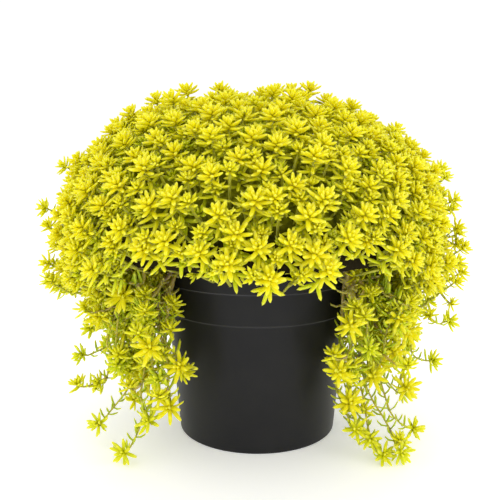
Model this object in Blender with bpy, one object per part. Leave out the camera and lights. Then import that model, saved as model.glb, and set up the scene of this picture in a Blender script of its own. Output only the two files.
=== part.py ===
"""Golden sedum in a round black nursery pot, in metres, with +Z up.

The origin is the centre of the pot's foot, on the surface that the pot stands on, and -Y is
the front. The plant is one bush of leafy shoots, which close up into a dome, and eight sprays
that trail over the rim to the left and right. Every stem stands in its own hole in the soil.
A shoot ends in a star of rings of narrow leaves.
"""

import math
import random

import bmesh
import bpy
from mathutils import Vector

# Driving dimensions of the pot
POT_HEIGHT = 0.1435
RIM_RADIUS = 0.0825
FOOT_RADIUS = 0.0672
WALL = 0.0013
FLOOR = 0.0022
FOOT_RECESS = 0.0022
LIP = 0.0013
COLLAR_BOTTOM = 0.1302
COLLAR_ROOT_RADIUS = 0.0796
STEP_HEIGHT = 0.1050
BELOW_STEP_RADIUS = 0.0768
ABOVE_STEP_RADIUS = 0.0777
DRAIN_COUNT = 6
DRAIN_RADIUS = 0.0055
DRAIN_CIRCLE = 0.036
POT_SIDES = 32
SOIL_SIDES = 24

# Driving dimensions of the soil
SOIL_TOP = 0.1265
SOIL_MOUND = 0.0022
SEAT_GAP = 0.0003
HOLE_GAP = 0.0005

# Driving dimensions of the dome of foliage, to the middle of its outer stars
DOME_RADIUS = 0.166
DOME_CENTRE = 0.166
DOME_RISE = 0.116
DOME_FULLNESS = 2.25
CORE_DEPTH = 0.016
CORE_SIDES = 24
CORE_LEVELS = (-2, 8, 18, 29, 40, 52, 64, 76, 85)
TUFT_HEIGHT = 0.009
NECK_RADIUS = 0.066
BUSH_STEMS = 9
BUSH_STEM_RADIUS = 0.0026
STEM_DEPTH = 0.016
STAR_COUNT = 168
SKIRT_FRONT = 0.158
SKIRT_SIDE = 0.121
LEAN_LEFT = 0.025

# The underside of the dome, above which its leaves stay, and below which the trails stay
UNDERSIDE_HEIGHT = 0.1515
UNDERSIDE_RADIUS = 0.115
UNDERSIDE_SLOPE = 0.62

# Driving dimensions of a star of leaves
BUD_RADIUS = 0.0050
LARGE_LEAF = 0.0180
SMALL_LEAF = 0.0155

# Where the tips of each ring of a star's leaves lie: (out, up), in lengths of a leaf
BACK_RING = (1.05, -0.30)
LOW_RING = (0.99, 0.06)
MIDDLE_RING = (0.84, 0.46)
TOP_RING = (0.36, 0.78)

# Driving dimensions of the trailing sprays
SLOT_GAP = 0.0004
TRAIL_STEM_RADIUS = 0.0013
TRAIL_ROOT_CIRCLE = 0.0722
RIM_CROSSING_RADIUS = 0.0895
TRAIL_LEAF = 0.0120
LEAF_SPACING = 0.0102
FLOOR_CLEARANCE = 0.0006
POT_CLEARANCE = 0.0012

GOLDEN_ANGLE = math.pi * (3 - math.sqrt(5))
UP = Vector((0, 0, 1))

# Each spray's place round the pot, in degrees from straight left or right towards the
# front, as (from, to), then its shoots: (degrees, distance from the axis, height), with
# the longest first. The others branch from it.
SPRAYS = {
    "left_back": ((-24, 2), ((-14, 0.146, 0.060), (-5, 0.158, 0.094))),
    "left_side": ((2, 18), ((9, 0.136, 0.022), (10, 0.162, 0.088))),
    "left_near": ((18, 42), (
        (37, 0.130, 0.009), (23, 0.126, 0.042), (27, 0.142, 0.098), (35, 0.108, 0.068))),
    "left_front": ((42, 62), ((46, 0.106, 0.036), (53, 0.104, 0.078))),
    "right_back": ((-24, 1), ((-14, 0.146, 0.058), (-5, 0.164, 0.090))),
    "right_side": ((1, 17), ((8, 0.140, 0.028), (9, 0.162, 0.092))),
    "right_near": ((17, 42), (
        (37, 0.137, 0.009), (22, 0.132, 0.044), (27, 0.138, 0.096), (36, 0.108, 0.062))),
    "right_front": ((42, 62), ((46, 0.110, 0.022), (53, 0.104, 0.072))),
}


def material(name, colour, roughness):
    """A plain finish with the part's colour."""
    made = bpy.data.materials.new(name)
    made.use_nodes = True
    shader = made.node_tree.nodes["Principled BSDF"]
    shader.inputs["Base Color"].default_value = (*colour, 1)
    shader.inputs["Roughness"].default_value = roughness
    return made


def add_object(name, mesh, finish, collection=None):
    """Puts a mesh in the scene, or in a collection of pieces that wait to be joined."""
    made = bpy.data.objects.new(name, mesh)
    made.data.materials.append(finish)
    (collection or bpy.context.scene.collection).objects.link(made)
    return made


def mesh_from(points, faces):
    """A closed mesh with its faces turned outwards."""
    mesh = bpy.data.meshes.new("piece")
    mesh.from_pydata([tuple(p) for p in points], [], faces)
    shape = bmesh.new()
    shape.from_mesh(mesh)
    bmesh.ops.recalc_face_normals(shape, faces=shape.faces)
    shape.to_mesh(mesh)
    shape.free()
    return mesh


def turned(profile, sides):
    """A solid of revolution. The profile runs from the axis round to the axis again."""
    points, rings = [], []
    for radius, height in profile:
        if radius == 0:
            rings.append([len(points)] * sides)
            points.append((0, 0, height))
            continue
        rings.append(list(range(len(points), len(points) + sides)))
        for i in range(sides):
            turn = 2 * math.pi * i / sides
            points.append((radius * math.cos(turn), radius * math.sin(turn), height))
    faces = []
    for low, high in zip(rings, rings[1:]):
        for i in range(sides):
            j = (i + 1) % sides
            corners = [low[i], low[j], high[j], high[i]]
            faces.append(list(dict.fromkeys(corners)))
    return mesh_from(points, faces)


def tube(path, radii, sides, spin=0.0):
    """A closed tube along a path, with a flat cap at each end."""
    points, faces = [], []
    side = None
    for i, (point, radius) in enumerate(zip(path, radii)):
        ahead = (path[min(i + 1, len(path) - 1)] - path[max(i - 1, 0)]).normalized()
        if side is None:
            side = ahead.orthogonal().normalized()
        side = (side - ahead * side.dot(ahead)).normalized()
        other = ahead.cross(side)
        for k in range(sides):
            turn = 2 * math.pi * k / sides + spin
            points.append(point + radius * (math.cos(turn) * side + math.sin(turn) * other))
    for i in range(len(path) - 1):
        for k in range(sides):
            n = (k + 1) % sides
            row, above = i * sides, (i + 1) * sides
            faces.append([row + k, row + n, above + n, above + k])
    faces.append(list(range(sides)))
    faces.append(list(range((len(path) - 1) * sides, len(path) * sides)))
    return mesh_from(points, faces)


def waiting(name):
    """A collection for pieces that a Boolean joins or cuts with."""
    made = bpy.data.collections.new(name)
    bpy.context.scene.collection.children.link(made)
    return made


def combine(base, pieces, operation, solver):
    """Joins a collection of closed pieces to the base or cuts them from it, and removes them."""
    cut = base.modifiers.new(pieces.name, "BOOLEAN")
    cut.operation = operation
    cut.operand_type = "COLLECTION"
    cut.collection = pieces
    cut.solver = solver
    bpy.context.view_layer.update()
    graph = bpy.context.evaluated_depsgraph_get()
    made = bpy.data.meshes.new_from_object(base.evaluated_get(graph))
    base.modifiers.clear()
    base.data = made
    for piece in list(pieces.objects):
        bpy.data.objects.remove(piece)
    bpy.data.collections.remove(pieces)
    keep_largest_body(base)


def keep_largest_body(thing):
    """Fills any hollow that joining sealed, and drops any loose scrap."""
    shape = bmesh.new()
    shape.from_mesh(thing.data)
    left, bodies = set(shape.verts), []
    while left:
        todo, body = [left.pop()], set()
        while todo:
            vert = todo.pop()
            body.add(vert)
            for edge in vert.link_edges:
                other = edge.other_vert(vert)
                if other in left:
                    left.discard(other)
                    todo.append(other)
        bodies.append(body)
    largest = max(bodies, key=len)
    drop = [vert for body in bodies if body is not largest for vert in body]
    bmesh.ops.delete(shape, geom=drop, context="VERTS")
    bmesh.ops.triangulate(shape, faces=shape.faces)
    shape.to_mesh(thing.data)
    shape.free()


# The pot

def wall_radius(height):
    """Radius of the pot's outer wall below its collar."""
    if height < STEP_HEIGHT:
        return FOOT_RADIUS + (BELOW_STEP_RADIUS - FOOT_RADIUS) * height / STEP_HEIGHT
    share = (height - STEP_HEIGHT) / (COLLAR_BOTTOM - STEP_HEIGHT)
    return ABOVE_STEP_RADIUS + (COLLAR_ROOT_RADIUS - ABOVE_STEP_RADIUS) * share


def pot_profile():
    """Outside from the middle of the foot to the lip, then down the inside."""
    return [
        (0, FOOT_RECESS),
        (FOOT_RADIUS - 0.0172, FOOT_RECESS),
        (FOOT_RADIUS - 0.0152, 0),
        (FOOT_RADIUS - 0.0012, 0),
        (FOOT_RADIUS - 0.0001, 0.0012),
        (FOOT_RADIUS + 0.0004, 0.0050),
        (BELOW_STEP_RADIUS, STEP_HEIGHT),
        (ABOVE_STEP_RADIUS, STEP_HEIGHT + 0.0009),
        (COLLAR_ROOT_RADIUS, COLLAR_BOTTOM),
        (RIM_RADIUS, COLLAR_BOTTOM + 0.0009),
        (RIM_RADIUS, POT_HEIGHT - LIP),
        (RIM_RADIUS - LIP, POT_HEIGHT),
        (RIM_RADIUS - 2 * LIP, POT_HEIGHT - LIP),
        (COLLAR_ROOT_RADIUS - WALL, COLLAR_BOTTOM - 0.0004),
        (ABOVE_STEP_RADIUS - WALL, STEP_HEIGHT),
        (FOOT_RADIUS + 0.0002 - WALL, 0.0060),
        (FOOT_RADIUS - 0.0040, FOOT_RECESS + FLOOR),
        (0, FOOT_RECESS + FLOOR),
    ]


def make_pot(finish):
    """The thin moulded shell, with round drain holes through its raised floor."""
    pot = add_object("pot", turned(pot_profile(), POT_SIDES), finish)
    drills = waiting("drain_holes")
    for i in range(DRAIN_COUNT):
        turn = 2 * math.pi * (i + 0.5) / DRAIN_COUNT
        at = Vector((DRAIN_CIRCLE * math.cos(turn), DRAIN_CIRCLE * math.sin(turn), 0))
        bore = tube([at - 0.01 * UP, at + 0.02 * UP], [DRAIN_RADIUS] * 2, 8)
        add_object(f"drain_{i}", bore, finish, drills)
    combine(pot, drills, "DIFFERENCE", "EXACT")


# The soil, with a plain hole for each stem

def soil_profile():
    """From the pot's floor up its inside, then over the low mound to the axis."""
    side = WALL + 2 * SEAT_GAP
    bottom = FOOT_RECESS + FLOOR + SEAT_GAP
    top_radius = COLLAR_ROOT_RADIUS - side
    return [
        (0, bottom),
        (FOOT_RADIUS - 0.0052, bottom),
        (FOOT_RADIUS - side, 0.0072),
        (BELOW_STEP_RADIUS - side - 0.0003, STEP_HEIGHT - 0.0014),
        (top_radius - 0.0008, SOIL_TOP - 0.0015),
        (top_radius - 0.0032, SOIL_TOP - 0.0004),
        (0.040, SOIL_TOP + SOIL_MOUND),
        (0, SOIL_TOP + SOIL_MOUND),
    ]


def make_soil(finish, stems):
    """A plug of potting mix, 0.3 mm clear of the pot, with a hole round every stem."""
    soil = add_object("soil", turned(soil_profile(), SOIL_SIDES), finish)
    drills = waiting("stem_holes")
    for i, (x, y, radius, sides) in enumerate(stems):
        foot = Vector((x, y, SOIL_TOP - STEM_DEPTH - HOLE_GAP))
        top = Vector((x, y, SOIL_TOP + 0.01))
        bore = tube([foot, top], [radius + HOLE_GAP] * 2, sides)
        add_object(f"hole_{i}", bore, finish, drills)
    combine(soil, drills, "DIFFERENCE", "EXACT")


# The room that the bush and each spray has to itself

def held_inside(point, planes, margin=0.0):
    """The point moved back by each plane, as (place, outward), that it is past."""
    point = point.copy()
    for _ in range(3):
        for place, out in planes:
            past = (point - place).dot(out) + margin
            if past > 0:
                point -= past * out
    return point


def underside(point):
    """Height of the surface between the dome and the trails, at the point's distance out."""
    reach = math.hypot(point.x, point.y)
    return UNDERSIDE_HEIGHT - UNDERSIDE_SLOPE * max(0.0, reach - UNDERSIDE_RADIUS)


def above_underside(point, margin=0.0005):
    point = point.copy()
    point.z = max(point.z, underside(point) + margin)
    return point


def below_underside(point, margin=0.0):
    """A point of a trail moved out of the pot, off the floor and out of the dome."""
    point = point.copy()
    reach = math.hypot(point.x, point.y)
    least = RIM_RADIUS + POT_CLEARANCE + margin
    if reach < least:
        point.x *= least / reach
        point.y *= least / reach
    lowest = FLOOR_CLEARANCE + margin
    point.z = max(lowest, min(point.z, underside(point) - 0.0005 - margin))
    return point


# A star of leaves

def star(centre, axis, spin, leaf, keep, root, count=4):
    """One shoot's end as a closed mesh: a stem that widens to a bud, and its rings of leaves.

    The bud is two rings of points round the axis. Each face between and above them is drawn
    out to a leaf's tip: the lowest ring of leaves lies flat, and the top one stands.
    """
    across = axis.orthogonal().normalized()
    along = axis.cross(across)
    bud = BUD_RADIUS * (leaf / LARGE_LEAF) ** 0.5

    def place(out, up, turn):
        flat = math.cos(turn) * across + math.sin(turn) * along
        return centre + out * flat + up * axis

    low_turns = [spin + 2 * math.pi * i / count for i in range(count)]
    high_turns = [t + math.pi / count for t in low_turns]
    points = [root, place(0, bud, 0)]
    points += [place(0.92 * bud, -0.45 * bud, t) for t in low_turns]
    points += [place(0.88 * bud, 0.45 * bud, t) for t in high_turns]
    faces = []

    def draw_out(corners, ring, turn):
        points.append(keep(place(ring[0] * leaf, ring[1] * leaf, turn)))
        for a, b in zip(corners, corners[1:] + corners[:1]):
            faces.append([a, b, len(points) - 1])

    for i in range(count):
        j = (i + 1) % count
        low, low_next = 2 + i, 2 + j
        high, high_next = 2 + count + i, 2 + count + j
        turn = high_turns[i]
        faces.append([0, low_next, low])
        draw_out([low, low_next, high], LOW_RING, turn)
        draw_out([high, low_next, high_next], MIDDLE_RING, turn + math.pi / count)
        draw_out([high, high_next, 1], TOP_RING, turn + math.pi / count)
    return mesh_from(points, faces)


def leafy_shoot(path, radii, bare, axis, spin, leaf, keep):
    """A trailing shoot as one closed mesh: a three-sided stem, drawn out to leaves, and its star.

    The stem twists as it grows. Past its bare part, every face is drawn out to one leaf, and
    the last ring of points widens to the star's bud.
    """
    points, faces = [], []

    def draw_out(corners, tip):
        points.append(keep(tip))
        for a, b in zip(corners, corners[1:] + corners[:1]):
            faces.append([a, b, len(points) - 1])

    def facing(turn):
        return math.cos(turn) * across + math.sin(turn) * along

    def add_ring(centre, radius, turn):
        for k in range(3):
            points.append(centre + radius * facing(turn + k * math.tau / 3))
        return list(range(len(points) - 3, len(points)))

    across = (path[1] - path[0]).normalized().orthogonal().normalized()
    middles = path + [path[-1] + 0.006 * axis]
    for i, centre in enumerate(path):
        ahead = (middles[i + 1] - middles[max(i - 1, 0)]).normalized()
        across = (across - ahead * across.dot(ahead)).normalized()
        along = ahead.cross(across)
        ring = add_ring(centre, radii[i], spin)
        if i == 0:
            faces.append(ring)
        for k in range(3 if i else 0):
            n = (k + 1) % 3
            quad = [below[k], below[n], ring[n], ring[k]]
            if i <= bare:
                faces.append(quad)
                continue
            root = sum((points[c] for c in quad), Vector()) / 4
            out = (root - (path[i - 1] + centre) / 2).normalized()
            growth = min(1.0, 0.4 + 0.15 * (i - bare))
            length = TRAIL_LEAF * growth * (0.85 + 0.2 * math.sin(2.1 * i + 1.7 * k))
            draw_out(quad, root + length * (0.92 * out + (0.18 + 0.26 * k) * ahead))
        below = ring
        spin += 0.62 if i >= bare else 0.0
    across = (across - axis * across.dot(axis)).normalized()
    along = axis.cross(across)
    bud = BUD_RADIUS * 0.85
    middle = path[-1] + 0.006 * axis
    low = add_ring(middle - 0.45 * bud * axis, 0.9 * bud, spin)
    high = add_ring(middle + 0.45 * bud * axis, 0.9 * bud, spin + math.pi / 3)
    top = len(points)
    points.append(middle + bud * axis)
    for k in range(3):
        n = (k + 1) % 3
        turn = spin + math.pi / 3 + k * math.tau / 3
        leaves = [
            ([below[k], below[n], low[n], low[k]], BACK_RING, turn + 0.5),
            ([low[k], low[n], high[k]], LOW_RING, turn),
            ([high[k], low[n], high[n]], MIDDLE_RING, turn + math.pi / 3),
            ([high[k], high[n], top], TOP_RING, turn + math.pi / 3),
        ]
        for corners, (out, up), turned_to in leaves:
            draw_out(corners, middle + leaf * (out * facing(turned_to) + up * axis))
    return mesh_from(points, faces)


# The bush

def dome_profile():
    """(distance out, height) at each degree from 90, the dome's top, to 30 below its widest."""
    return [outline_point(90 - i, 0) for i in range(121)]


def outline_point(degrees, inset):
    """(distance out, height) on the dome's outline, which is fuller than an ellipse."""
    angle = math.radians(degrees)
    up = math.copysign(abs(math.sin(angle)) ** (2 / DOME_FULLNESS), angle)
    out = abs(math.cos(angle)) ** (2 / DOME_FULLNESS)
    return (DOME_RADIUS - inset) * out, DOME_CENTRE + (DOME_RISE - inset) * up


def skirt_limit(point):
    """The lowest that the foliage hangs in the point's direction: lower to the sides."""
    sideways = abs(point.x) / max(math.hypot(point.x, point.y), 1e-6)
    share = min(1.0, max(0.0, (sideways - 0.35) / 0.45))
    return SKIRT_FRONT + (SKIRT_SIDE - SKIRT_FRONT) * share


def even_places(count):
    """Points spread evenly over the dome, with the outward direction at each."""
    outline = dome_profile()
    areas = [0.0]
    for (r0, z0), (r1, z1) in zip(outline, outline[1:]):
        areas.append(areas[-1] + (r0 + r1) * math.hypot(r1 - r0, z1 - z0))
    places, step = [], 0
    for i in range(count):
        wanted = areas[-1] * (i + 0.5) / count
        while areas[step + 1] < wanted:
            step += 1
        share = (wanted - areas[step]) / (areas[step + 1] - areas[step])
        (r0, z0), (r1, z1) = outline[step], outline[step + 1]
        turn = i * GOLDEN_ANGLE
        facing = Vector((math.cos(turn), math.sin(turn), 0))
        point = (r0 + share * (r1 - r0)) * facing + (z0 + share * (z1 - z0)) * UP
        normal = ((z0 - z1) * facing + (r1 - r0) * UP).normalized()
        places.append((point, normal))
    return places


def dome_stars(rng):
    """(middle, axis, spin, leaf length) of each star on the dome."""
    made = []
    for i, (point, normal) in enumerate(even_places(STAR_COUNT)):
        large = i % 2 == 0
        lift = rng.uniform(-0.003, 0.003) if large else rng.uniform(-0.006, -0.001)
        if rng.random() < 0.10:
            lift += 0.007
        lean = Vector([rng.uniform(-0.24, 0.24) for _ in range(3)])
        spin = rng.uniform(0, 2 * math.pi)
        leaf = (LARGE_LEAF if large else SMALL_LEAF) * rng.uniform(0.92, 1.08)
        lift -= LEAN_LEFT * point.x
        if point.z < skirt_limit(point):
            continue
        middle = point + lift * normal
        axis = (normal + lean + 0.20 * UP).normalized()
        made.append((middle, axis, spin, leaf))
    return made


def make_core(name, finish):
    """The bush's dense inside: a neck in the pot and a cap above the rim, rough with tufts."""
    rng = random.Random(11)
    floor = SOIL_TOP + SOIL_MOUND + SEAT_GAP
    low = UNDERSIDE_HEIGHT + 0.0005
    rings = [(NECK_RADIUS, floor), (NECK_RADIUS, low), (UNDERSIDE_RADIUS - 0.009, low)]
    rings += [outline_point(degrees, CORE_DEPTH) for degrees in CORE_LEVELS]
    points, faces, below = [], [], []
    for level, (radius, height) in enumerate(rings):
        ring = []
        for i in range(CORE_SIDES):
            turn = math.tau * (i + 0.5 * (level % 2)) / CORE_SIDES
            ring.append(len(points))
            points.append(Vector((radius * math.cos(turn), radius * math.sin(turn), height)))
        for i in range(CORE_SIDES if below else 0):
            j = (i + 1) % CORE_SIDES
            near, far = (i, j) if level % 2 else (j, i)
            pair = [[below[i], below[j], ring[near]], [ring[i], ring[j], below[far]]]
            if level <= 2:
                faces += pair
                continue
            for face in pair:
                draw_tuft(points, faces, face, rng)
        below = ring
    points += [Vector((0, 0, floor)), Vector((0, 0, DOME_CENTRE + DOME_RISE - CORE_DEPTH + 0.003))]
    base, top = len(points) - 2, len(points) - 1
    for i in range(CORE_SIDES):
        faces.append([i, (i + 1) % CORE_SIDES, base])
        draw_tuft(points, faces, [below[i], below[(i + 1) % CORE_SIDES], top], rng)
    return add_object(name, mesh_from(points, faces), finish)


def draw_tuft(points, faces, corners, rng):
    """Draws one face of the dense inside out to a leaning point."""
    a, b, c = (points[i] for i in corners)
    normal = (b - a).cross(c - a).normalized()
    middle = (a + b + c) / 3
    if normal.dot(middle - DOME_CENTRE * UP) < 0:
        normal = -normal
    lean = rng.uniform(-0.35, 0.35) * (b - a) + rng.uniform(-0.35, 0.35) * (c - a)
    tip = middle + rng.uniform(0.7, 1.2) * TUFT_HEIGHT * normal + lean
    points.append(above_underside(tip, 0.001))
    for first, second in zip(corners, corners[1:] + corners[:1]):
        faces.append([first, second, len(points) - 1])


def bush_stem_places():
    """(x, y) of each of the bush's stems in the soil: one in the middle and a ring."""
    places = [(0.0, 0.0)]
    for i in range(BUSH_STEMS - 1):
        turn = math.tau * i / (BUSH_STEMS - 1) + 0.2
        reach = 0.050 if i % 2 else 0.034
        places.append((reach * math.cos(turn), reach * math.sin(turn)))
    return places


def make_bush(stars, finish):
    """The planted bush: its stems, its dense inside and the stars that stand out of it."""
    bush = make_core("sedum_bush", finish)
    pieces = waiting("bush_pieces")
    for i, (x, y) in enumerate(bush_stem_places()):
        path = [Vector((x, y, SOIL_TOP - STEM_DEPTH)), Vector((x, y, SOIL_TOP + 0.010))]
        add_object(f"bush_stem_{i}", tube(path, [BUSH_STEM_RADIUS] * 2, 6), finish, pieces)
    hub = DOME_CENTRE * UP
    for i, (middle, axis, spin, leaf) in enumerate(stars):
        middle = above_underside(middle, 0.008)
        root = hub + 0.80 * (middle - hub)
        root.z = max(root.z, DOME_CENTRE - 0.001)
        mesh = star(middle, axis, spin, leaf, above_underside, root)
        add_object(f"bush_star_{i}", mesh, finish, pieces)
    combine(bush, pieces, "UNION", "MANIFOLD")


# The trailing sprays

def polar(side, degrees, reach, height):
    """A point by its direction from straight left or right, towards the front."""
    turn = math.radians(degrees)
    return Vector((side * reach * math.cos(turn), -reach * math.sin(turn), height))


def bezier(a, b, c, d, count):
    """Points along one cubic curve."""
    made = []
    for i in range(count):
        t = i / (count - 1)
        s = 1 - t
        made.append(s**3 * a + 3 * s * s * t * b + 3 * s * t * t * c + t**3 * d)
    return made


def spray_planes(side, limits):
    """The two upright planes through the pot's axis that a spray stays between."""
    planes = []
    for degrees, sense in ((limits[0], -1), (limits[1], 1)):
        out = polar(side, degrees + sense * 90, 1, 0)
        planes.append((-SLOT_GAP * out, out))
    return planes


def rim_crossing(side, degrees):
    """A stem's way out of the soil, up inside the pot and over the rim."""
    return [
        polar(side, degrees, TRAIL_ROOT_CIRCLE, SOIL_TOP - STEM_DEPTH),
        polar(side, degrees, TRAIL_ROOT_CIRCLE, POT_HEIGHT - 0.005),
        polar(side, degrees, TRAIL_ROOT_CIRCLE + 0.0045, POT_HEIGHT + 0.0032),
        polar(side, degrees, RIM_CROSSING_RADIUS, POT_HEIGHT + 0.0042),
    ]


def shoot_path(start, tip, side, degrees):
    """A shoot that leaves the rim outwards, hangs, and turns its tip out."""
    drop = start.z - tip.z
    outward = polar(side, degrees, 1, 0)
    leave = start + 0.018 * outward + 0.001 * UP
    arrive = tip - 0.012 * outward + 0.40 * drop * UP
    length = (leave - start).length + (arrive - leave).length + (tip - arrive).length
    return bezier(start, leave, arrive, tip, max(4, round(length / LEAF_SPACING)))


def make_spray(name, side, limits, shoots, finish, rng):
    """One rooted stem that crosses the rim, with its leafy shoots."""
    planes = spray_planes(side, limits)
    root_at = (limits[0] + limits[1]) / 2
    rise = rim_crossing(side, root_at)

    def keep(point):
        return held_inside(below_underside(point), planes)

    pieces = waiting(name + "_pieces")
    for number, (degrees, reach, height) in enumerate(shoots):
        tip = held_inside(polar(side, degrees, reach, height), planes, 0.006)
        start = rise[-1]
        if number > 0:
            start = rise[-2] + (0.40 + 0.13 * number) * (rise[-1] - rise[-2])
        path = shoot_path(start, tip, side, (root_at + 2 * degrees) / 3)
        whole, bare = (rise + path[1:], 3) if number == 0 else (path, 1)
        count = len(whole)
        stem = TRAIL_STEM_RADIUS * (1 - 0.07 * number)
        radii = [stem * (1 - 0.35 * i / count) for i in range(count)]
        axis = (polar(side, degrees, 1, 0.45) + 0.45 * polar(side, degrees + 90, 1, 0)).normalized()
        leaf = LARGE_LEAF * rng.uniform(0.84, 1.0)
        mesh = leafy_shoot(whole, radii, bare, axis, 0.7 * number, leaf, keep)
        if number == 0:
            spray = add_object(name, mesh, finish)
        else:
            add_object(f"{name}_shoot_{number}", mesh, finish, pieces)
    combine(spray, pieces, "UNION", "MANIFOLD")


def main():
    for thing in list(bpy.data.objects):
        bpy.data.objects.remove(thing)
    rng = random.Random(12)
    plastic = material("black_plastic", (0.028, 0.029, 0.031), 0.42)
    peat = material("potting_mix", (0.035, 0.022, 0.014), 0.95)
    foliage = material("golden_foliage", (0.62, 0.60, 0.02), 0.45)
    trailing = material("trailing_foliage", (0.52, 0.55, 0.03), 0.48)

    make_pot(plastic)
    stems = [(x, y, BUSH_STEM_RADIUS, 6) for x, y in bush_stem_places()]
    for name, (limits, _) in SPRAYS.items():
        side = -1 if name.startswith("left") else 1
        at = polar(side, sum(limits) / 2, TRAIL_ROOT_CIRCLE, 0)
        stems.append((at.x, at.y, TRAIL_STEM_RADIUS, 5))
    make_soil(peat, stems)
    make_bush(dome_stars(rng), foliage)
    for name, (limits, shoots) in SPRAYS.items():
        side = -1 if name.startswith("left") else 1
        make_spray("trail_" + name, side, limits, shoots, trailing, rng)


main()
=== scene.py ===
"""The looks of a potted golden sedum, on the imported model's frame, in metres.

The sections follow the way the plant was put together: the pot, its mix, the stems that
stand in it, the dome that they branch into, and the sprays that trail over the rim.
"""

import math
import random

import bpy
import numpy as np
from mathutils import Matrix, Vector, noise


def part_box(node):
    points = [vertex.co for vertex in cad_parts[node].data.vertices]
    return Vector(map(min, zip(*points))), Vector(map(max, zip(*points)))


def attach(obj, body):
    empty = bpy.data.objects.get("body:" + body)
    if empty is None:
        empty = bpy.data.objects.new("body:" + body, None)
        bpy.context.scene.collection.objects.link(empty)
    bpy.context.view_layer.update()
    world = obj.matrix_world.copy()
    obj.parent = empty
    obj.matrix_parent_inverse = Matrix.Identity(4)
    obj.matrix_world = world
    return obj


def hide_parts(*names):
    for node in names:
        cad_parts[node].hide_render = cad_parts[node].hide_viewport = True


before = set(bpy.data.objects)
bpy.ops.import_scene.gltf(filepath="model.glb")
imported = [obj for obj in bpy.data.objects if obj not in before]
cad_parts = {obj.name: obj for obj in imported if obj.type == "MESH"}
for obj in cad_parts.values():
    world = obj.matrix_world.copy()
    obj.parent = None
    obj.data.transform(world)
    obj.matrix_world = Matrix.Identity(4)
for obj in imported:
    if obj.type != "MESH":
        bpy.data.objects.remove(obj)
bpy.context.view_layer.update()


# The view and the studio
# The camera stands a little above the foliage's widest part and looks slightly down. The
# floor is a matt white sheet in a white surround, and soft lights hang above, to the left,
# to the right and in front.

camera_place = (-0.0061, -0.55, 0.228)
camera_tilt = 7.7
camera_lens = 46.5
floor_reach = 4.0
floor_glow = 0.30
surround_strength = 1.07

camera = bpy.data.objects.new("camera", bpy.data.cameras.new("camera"))
bpy.context.scene.collection.objects.link(camera)
bpy.context.scene.camera = camera
camera.location = camera_place
camera.rotation_euler = (math.radians(90 - camera_tilt), 0, 0)
camera.data.lens = camera_lens
camera.data.clip_start = 0.01
bpy.context.scene.view_settings.view_transform = "Standard"

paper = bpy.data.materials.new("white_paper")
paper.use_nodes = True
paper_shader = paper.node_tree.nodes["Principled BSDF"]
paper_shader.inputs["Base Color"].default_value = (0.95, 0.95, 0.95, 1)
paper_shader.inputs["Roughness"].default_value = 0.9
paper_shader.inputs["Emission Color"].default_value = (1, 1, 1, 1)
paper_shader.inputs["Emission Strength"].default_value = floor_glow
floor_mesh = bpy.data.meshes.new("floor")
corners = [(x * floor_reach, y * floor_reach, 0) for x, y in ((-1, -1), (1, -1), (1, 1), (-1, 1))]
floor_mesh.from_pydata(corners, [], [(0, 1, 2, 3)])
floor_mesh.materials.append(paper)
floor = bpy.data.objects.new("floor", floor_mesh)
bpy.context.scene.collection.objects.link(floor)

world = bpy.data.worlds.new("studio")
world.use_nodes = True
surround = world.node_tree.nodes["Background"]
surround.inputs["Color"].default_value = (1, 1, 1, 1)
surround.inputs["Strength"].default_value = surround_strength
bpy.context.scene.world = world


def soft_light(name, place, aim, size, power):
    """A round area light at a place, turned towards its aim."""
    lamp = bpy.data.lights.new(name, "AREA")
    lamp.shape = "DISK"
    lamp.size = size
    lamp.energy = power
    holder = bpy.data.objects.new(name, lamp)
    bpy.context.scene.collection.objects.link(holder)
    holder.location = place
    holder.rotation_euler = (Vector(aim) - Vector(place)).to_track_quat("-Z", "Y").to_euler()


soft_light("overhead", (-0.25, -0.35, 1.25), (0, 0, 0.20), 0.7, 0.5)
soft_light("left_front", (-0.95, -0.95, 0.75), (0, 0, 0.18), 0.8, 0.1)
soft_light("right_front", (1.05, -0.75, 0.65), (0, 0, 0.18), 0.8, 1.2)
soft_light("front", (0.05, -1.35, 0.50), (0, 0, 0.18), 0.9, 0.6)


# The pot
# One thin shell of black polypropylene, moulded in one shot: a wall that widens upwards,
# a step below the collar, a rolled lip, and a raised foot with drain holes through it.

pot_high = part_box("pot")[1]
pot_height = pot_high.z
rim_radius = pot_high.x
lip_width = 0.0024
wall = 0.0013
ledge = 0.0009
collar_bottom = 0.1302
collar_radius = 0.0796
step_height = 0.1050
below_step = 0.0768
above_step = 0.0777
foot_radius = 0.0672
foot_ring = 0.0152
foot_slope = 0.0020
foot_recess = 0.0022
bottom_thickness = 0.0022
drain_holes = 6
drain_circle = 0.036
drain_radius = 0.0055
drill_low = -0.01
drill_high = 0.02
pot_sides = 120
drain_sides = 24

# Painted highlights: thin lighter lines at the collar's lower edge, the step and the top of the rim, where
# those edges catch the light.
highlight_lines = ((collar_bottom + 0.0002, 0.9), (step_height + 0.0002, 0.4), (pot_height, 0.5))
highlight_line_width = 0.0010
highlight_height_scale = 0.15


def curve_round(corner_in, corner, corner_out, radius, steps=5):
    """Points of an arc-like blend that takes the place of a sharp corner of a profile."""
    corner_in, corner, corner_out = Vector(corner_in), Vector(corner), Vector(corner_out)
    start = corner + (corner_in - corner).normalized() * radius
    end = corner + (corner_out - corner).normalized() * radius
    made = []
    for i in range(steps + 1):
        t = i / steps
        made.append(tuple((1 - t) ** 2 * start + 2 * t * (1 - t) * corner + t * t * end))
    return made


def rounded_profile(corners):
    """A profile of (radius, height, rounding) with each rounded corner blended."""
    made = []
    for i, (radius, height, rounding) in enumerate(corners):
        if rounding == 0:
            made.append((radius, height))
            continue
        before, after = corners[i - 1][:2], corners[i + 1][:2]
        made += curve_round(before, (radius, height), after, rounding)
    return made


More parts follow.
